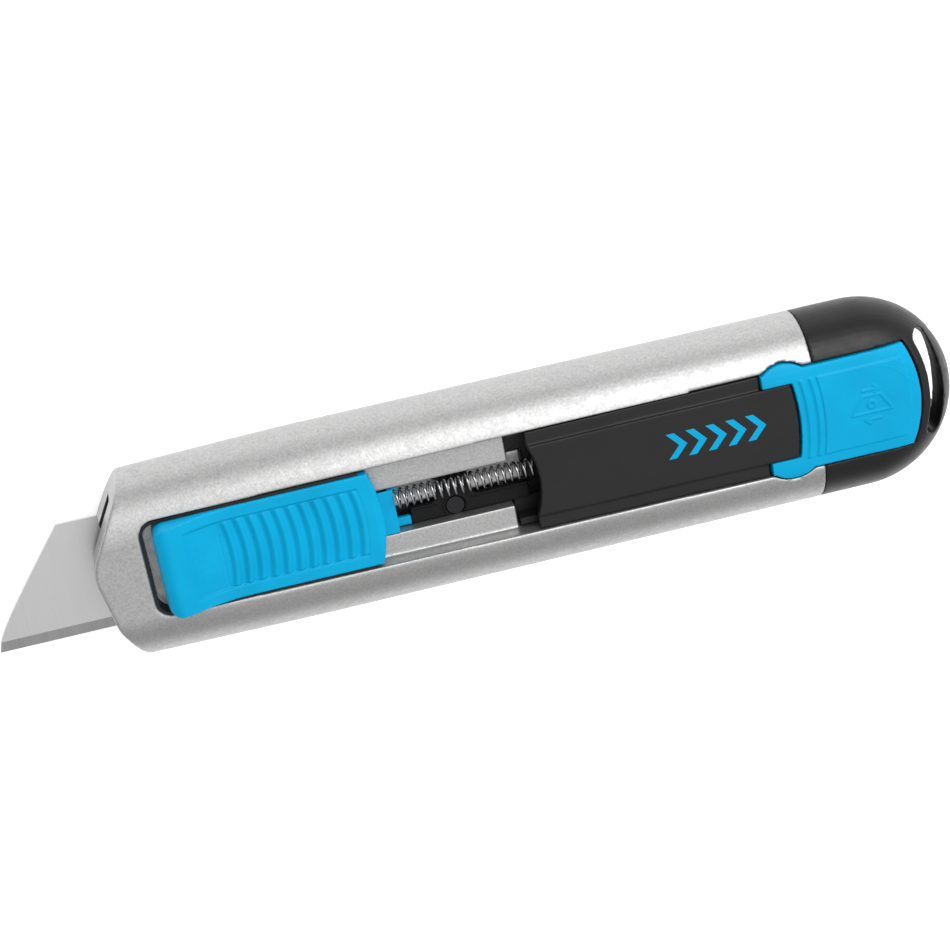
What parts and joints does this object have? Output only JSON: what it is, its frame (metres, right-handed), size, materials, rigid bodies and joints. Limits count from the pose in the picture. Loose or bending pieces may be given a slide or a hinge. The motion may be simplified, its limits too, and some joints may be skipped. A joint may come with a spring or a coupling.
{
  "type": "utility knife",
  "caption": "Safety utility knife: aluminium handle, spring-retracted thumb slider with trapezoid blade, and a latched black end cap with a lanyard slot.",
  "frame": {"origin": "on the handle's flat back face, half way between the nose and the tail, on the handle's centre line", "axes": "+X to the tail (the blade leaves towards -X), +Y to the spine, +Z out of the face that has the thumb slider"},
  "size_m": [0.1558, 0.031, 0.0208],
  "materials": {
    "blasted_aluminium": "bead-blasted, satin",
    "black_plastic": "fine satin",
    "cap_plastic": "fine moulded grain",
    "blue_plastic": "semi-gloss moulded",
    "buffer_rubber": "matt",
    "pin_steel": "turned",
    "dark_steel": "blackened",
    "spring_steel": "bright drawn wire",
    "blade_steel": "fine ground"
  },
  "bodies": {
    "handle": {"housing": "blasted_aluminium", "slide_liner": "black_plastic", "spring_cassette": "black_plastic", "cover_insert": "black_plastic", "rear_spring_pin": "pin_steel", "end_cap": "cap_plastic", "cap_pins": "pin_steel", "stop_buffers": "buffer_rubber", "latch_pin": "pin_steel", "latch_spring": "spring_steel", "return_spring": "spring_steel"},
    "slider": {"thumb_slider": "blue_plastic", "front_spring_pin": "pin_steel", "blade_carrier": "black_plastic", "carrier_lid": "black_plastic", "lid_screws": "pin_steel", "drive_plate": "black_plastic", "plate_screw": "dark_steel", "blade_stud": "pin_steel", "blade": "blade_steel"},
    "latch": {"latch_button": "blue_plastic"}
  },
  "joints": [
    {"name": "blade_slide", "type": "slide", "parent": "handle", "child": "slider", "axis": [1, 0, 0], "range_m": [0, 0.0225], "stiffness_N_per_m": 120, "springref_m": 0.026, "deforming": ["return_spring"]},
    {"name": "latch_press", "type": "hinge", "parent": "handle", "child": "latch", "pos_m": [0.0585, 0.00095, 0.0144], "axis": [0, -1, 0], "range_deg": [0, 3], "stiffness_Nm_per_rad": 0.6, "springref_deg": -2.86, "deforming": ["latch_spring"]}
  ]
}
